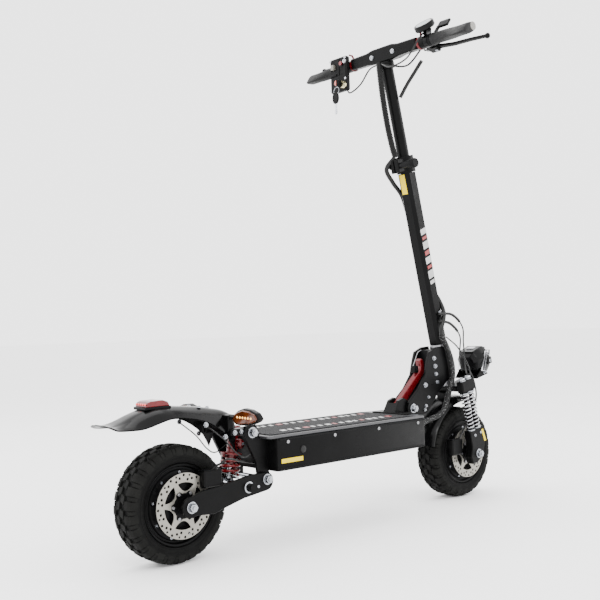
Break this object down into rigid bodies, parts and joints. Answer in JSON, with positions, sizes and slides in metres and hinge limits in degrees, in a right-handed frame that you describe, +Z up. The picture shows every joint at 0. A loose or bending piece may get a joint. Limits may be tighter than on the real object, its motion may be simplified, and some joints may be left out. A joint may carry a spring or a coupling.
{
  "type": "electric kick scooter",
  "caption": "Folding electric kick scooter with off-road tyres, sprung twin-coil fork, sprung rear swingarm, disc brakes, telescopic stem and folding bars.",
  "frame": {"origin": "middle of the footprint, on the ground", "axes": "+X forward, +Y to the rider's left, +Z up"},
  "size_m": [1.2841, 0.6086, 1.3009],
  "materials": {
    "amber_lens": "smoked amber lens",
    "battery_wrap": "heat shrink wrap",
    "black_frame": "satin black powder coat",
    "black_plastic": "gloss black",
    "cast_grey": "cast",
    "deck_edge": "dark anodised edge",
    "disc_steel": "ground steel",
    "grey_plastic": "grey",
    "matte_plastic": "moulded matte black",
    "orange_plastic": "orange",
    "red_lens": "red lens",
    "red_paint": "gloss red",
    "rubber": "soft black grip rubber",
    "spring_chrome": "chromed wire",
    "tyre": "black tyre rubber",
    "zinc": "zinc plated"
  },
  "bodies": {
    "chassis": {"deck_tub": "black_frame", "deck_lid": "deck_edge", "battery_pack": "battery_wrap", "controller": "cast_grey", "neck_lug": "black_frame", "fold_pivot_bolt": "zinc", "rear_bracket": "black_frame", "shock_top_bolt": "zinc", "swingarm_pivot_bolt": "zinc", "rear_fender": "black_plastic", "brake_light": "red_lens", "signal_left": "amber_lens", "signal_right": "amber_lens"},
    "kickstand": {"kickstand": "black_frame"},
    "head": {"head_plate_left": "black_frame", "head_plate_right": "black_frame", "head_tube": "black_frame"},
    "fold_lever": {"fold_lever": "red_paint"},
    "steerer": {"fork_crown": "black_frame", "stem_lower": "black_frame", "stem_clamp": "black_frame", "headlight": "black_plastic", "front_fender": "black_plastic"},
    "clamp_knob": {"clamp_knob": "matte_plastic"},
    "fork_lower": {"fork_leg_left": "black_frame", "fork_leg_right": "black_frame", "front_axle": "zinc", "front_caliper": "black_frame", "front_spring_left": "spring_chrome", "front_spring_right": "spring_chrome"},
    "front_wheel": {"front_tyre": "tyre", "front_hub": "black_frame", "front_disc": "disc_steel"},
    "swingarm": {"swingarm": "black_frame", "rear_axle": "zinc", "rear_caliper": "black_frame"},
    "rear_wheel": {"rear_tyre": "tyre", "rear_hub": "black_frame", "rear_disc": "disc_steel"},
    "shock_body": {"shock_body": "red_paint"},
    "shock_shaft": {"shock_shaft": "zinc", "rear_spring": "red_paint"},
    "upper_stem": {"stem_upper": "black_frame", "handlebar_block": "black_frame", "cable_loom": "matte_plastic"},
    "left_bar": {"bar_left": "black_frame", "grip_left": "rubber", "brake_perch_left": "black_frame", "switch_pod": "matte_plastic"},
    "right_bar": {"bar_right": "black_frame", "grip_right": "rubber", "brake_perch_right": "black_frame", "display": "black_plastic"},
    "left_lever": {"brake_lever_left": "black_frame"},
    "right_lever": {"brake_lever_right": "black_frame"},
    "throttle": {"throttle_lever": "matte_plastic"},
    "key": {"key": "matte_plastic"},
    "horn_button": {"horn_button": "orange_plastic"},
    "light_button": {"light_button": "red_paint"},
    "signal_switch": {"signal_switch": "grey_plastic"}
  },
  "joints": [
    {"name": "fold_hinge", "type": "hinge", "parent": "chassis", "child": "head", "pos_m": [0.29, 0, 0.268], "axis": [0, -1, 0], "range_deg": [0, 72]},
    {"name": "latch_lever", "type": "hinge", "parent": "chassis", "child": "fold_lever", "pos_m": [0.261, 0, 0.278], "axis": [0, -1, 0], "range_deg": [0, 94]},
    {"name": "steering", "type": "hinge", "parent": "head", "child": "steerer", "pos_m": [0.45116, 0, 0.38943], "axis": [-0.2284, 0, 0.9736], "range_deg": [-35, 35]},
    {"name": "stem_height", "type": "slide", "parent": "steerer", "child": "upper_stem", "axis": [0.2284, 0, -0.9736], "range_m": [0, 0.2], "deforming": ["cable_loom"]},
    {"name": "clamp_knob_turn", "type": "hinge", "parent": "steerer", "child": "clamp_knob", "pos_m": [0.28641, 0, 0.9342], "axis": [0, 1, 0], "continuous": true},
    {"name": "fork_travel", "type": "slide", "parent": "steerer", "child": "fork_lower", "axis": [-0.2284, 0, 0.9736], "range_m": [0, 0.025], "stiffness_N_per_m": 8000, "springref_m": -0.03, "deforming": ["front_spring_left", "front_spring_right"]},
    {"name": "front_wheel_spin", "type": "hinge", "parent": "fork_lower", "child": "front_wheel", "pos_m": [0.494, 0, 0.1275], "axis": [0, 1, 0], "continuous": true},
    {"name": "swingarm_pivot", "type": "hinge", "parent": "chassis", "child": "swingarm", "pos_m": [-0.268, 0, 0.159], "axis": [0, 1, 0], "range_deg": [0, 6], "stiffness_Nm_per_rad": 500, "springref_deg": -6.88},
    {"name": "rear_wheel_spin", "type": "hinge", "parent": "swingarm", "child": "rear_wheel", "pos_m": [-0.474, 0, 0.1275], "axis": [0, 1, 0], "continuous": true},
    {"name": "shock_pivot", "type": "hinge", "parent": "chassis", "child": "shock_body", "pos_m": [-0.299, 0, 0.266], "axis": [0, 1, 0], "range_deg": [0, 2]},
    {"name": "shock_stroke", "type": "slide", "parent": "shock_body", "child": "shock_shaft", "axis": [0.1833, 0, 0.9831], "range_m": [0, 0.008], "deforming": ["rear_spring"]},
    {"name": "kickstand_pivot", "type": "hinge", "parent": "chassis", "child": "kickstand", "pos_m": [-0.227, 0.1135, 0.158], "axis": [0.1377, 0.9, 0.4136], "range_deg": [0, 68]},
    {"name": "left_bar_fold", "type": "hinge", "parent": "upper_stem", "child": "left_bar", "pos_m": [0.26189, 0.1202, 1.22704], "axis": [-0.9736, 0, -0.2284], "range_deg": [0, 85]},
    {"name": "right_bar_fold", "type": "hinge", "parent": "upper_stem", "child": "right_bar", "pos_m": [0.26189, -0.1202, 1.22704], "axis": [0.9736, 0, 0.2284], "range_deg": [0, 85]},
    {"name": "left_brake", "type": "hinge", "parent": "left_bar", "child": "left_lever", "pos_m": [0.28849, 0.151, 1.26065], "axis": [-0.5736, 0, 0.8192], "range_deg": [0, 12], "stiffness_Nm_per_rad": 1.5, "springref_deg": -8.59},
    {"name": "right_brake", "type": "hinge", "parent": "right_bar", "child": "right_lever", "pos_m": [0.29377, -0.151, 1.23068], "axis": [-0.2588, 0, -0.9659], "range_deg": [0, 12], "stiffness_Nm_per_rad": 1.5, "springref_deg": -8.59},
    {"name": "throttle_push", "type": "hinge", "parent": "right_bar", "child": "throttle", "pos_m": [0.259, -0.16, 1.24], "axis": [0, 1, 0], "range_deg": [0, 25], "stiffness_Nm_per_rad": 0.3, "springref_deg": -11.46},
    {"name": "key_swing", "type": "hinge", "parent": "left_bar", "child": "key", "pos_m": [0.2, 0.1435, 1.154], "axis": [1, 0, 0], "range_deg": [-30, 30]},
    {"name": "horn_press", "type": "slide", "parent": "left_bar", "child": "horn_button", "axis": [1, 0, 0], "range_m": [0, 0.002], "stiffness_N_per_m": 600, "springref_m": -0.002},
    {"name": "light_press", "type": "slide", "parent": "left_bar", "child": "light_button", "axis": [1, 0, 0], "range_m": [0, 0.002], "stiffness_N_per_m": 600, "springref_m": -0.002},
    {"name": "signal_slide", "type": "slide", "parent": "left_bar", "child": "signal_switch", "axis": [0, 1, 0], "range_m": [-0.0045, 0.0045]}
  ],
  "couplings": [
    {"joint": "latch_lever", "follows": "fold_hinge", "ratio": 1.3},
    {"joint": "shock_pivot", "follows": "swingarm_pivot", "ratio": 0.17102},
    {"joint": "shock_stroke", "follows": "swingarm_pivot", "m_per_rad": 0.05009}
  ]
}
